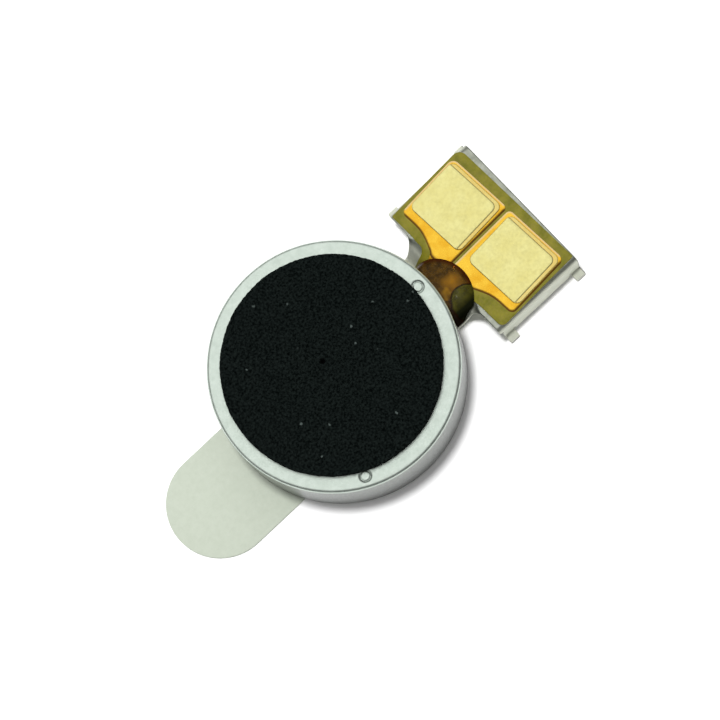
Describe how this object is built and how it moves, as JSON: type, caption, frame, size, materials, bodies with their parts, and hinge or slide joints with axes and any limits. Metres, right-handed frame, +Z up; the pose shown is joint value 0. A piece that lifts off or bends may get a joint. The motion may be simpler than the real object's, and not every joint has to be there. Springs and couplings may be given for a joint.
{
  "type": "vibration coin motor",
  "caption": "Flat round eccentric-rotor vibration motor with a foam-topped steel case, a folded terminal deck with square contacts, and taped base with pull-tab liner.",
  "frame": {"origin": "on the shaft's axis, at the underside of the release liner that the motor rests on", "axes": "+Z up along the shaft to the foam pad, +X from the shaft to the terminal deck"},
  "size_m": [0.019, 0.01, 0.004],
  "materials": {
    "case_steel": "bright drawn steel, matt on the wall",
    "bracket_steel": "bright cold-rolled sheet",
    "black_foam": "fine-celled black foam",
    "clear_adhesive": "clear pressure-sensitive adhesive",
    "white_tape": "double-sided tape",
    "polyimide_film": "olive-amber polyimide film",
    "amber_copper": "copper under thin amber film",
    "pale_gilding": "pale gold plating, satin",
    "brown_resin": "glossy translucent brown resin",
    "shaft_steel": "ground steel",
    "magnet_plating": "nickel-plated magnet",
    "brush_alloy": "precious-metal spring strip",
    "solder": "bright solder",
    "washer_film": "polyester washer",
    "sintered_bronze": "oiled sintered bronze",
    "circuit_board": "glass-fibre board",
    "coil_wire": "enamelled copper wire",
    "tungsten_alloy": "sintered tungsten alloy",
    "moulded_resin": "black moulded resin",
    "liner_paper": "pale silicone-coated release paper"
  },
  "bodies": {
    "housing": {"case_cover": "case_steel", "base_bracket": "bracket_steel", "foam_pad": "black_foam", "foam_adhesive": "clear_adhesive", "mounting_tape": "white_tape", "flex_bond": "clear_adhesive", "flex_film": "polyimide_film", "conductor_a": "amber_copper", "conductor_b": "amber_copper", "contact_a": "pale_gilding", "contact_b": "pale_gilding", "sealing_bead": "brown_resin", "shaft": "shaft_steel", "magnet": "magnet_plating", "magnet_glue": "clear_adhesive", "brush_a": "brush_alloy", "brush_b": "brush_alloy", "brush_solder": "solder", "lower_washer": "washer_film", "upper_washer": "washer_film"},
    "rotor": {"bearing": "sintered_bronze", "commutator_board": "circuit_board", "commutator_segments": "pale_gilding", "coil_a": "coil_wire", "coil_b": "coil_wire", "coil_solder": "solder", "weight": "tungsten_alloy", "rotor_frame": "moulded_resin"},
    "liner": {"release_liner": "liner_paper"}
  },
  "joints": [
    {"name": "rotor_spin", "type": "hinge", "parent": "housing", "child": "rotor", "pos_m": [0, 0, 0.0023], "axis": [0, 0, 1], "continuous": true},
    {"name": "liner_pull", "type": "slide", "parent": "housing", "child": "liner", "axis": [-1, 0, 0], "range_m": [0, 0.0095]}
  ]
}
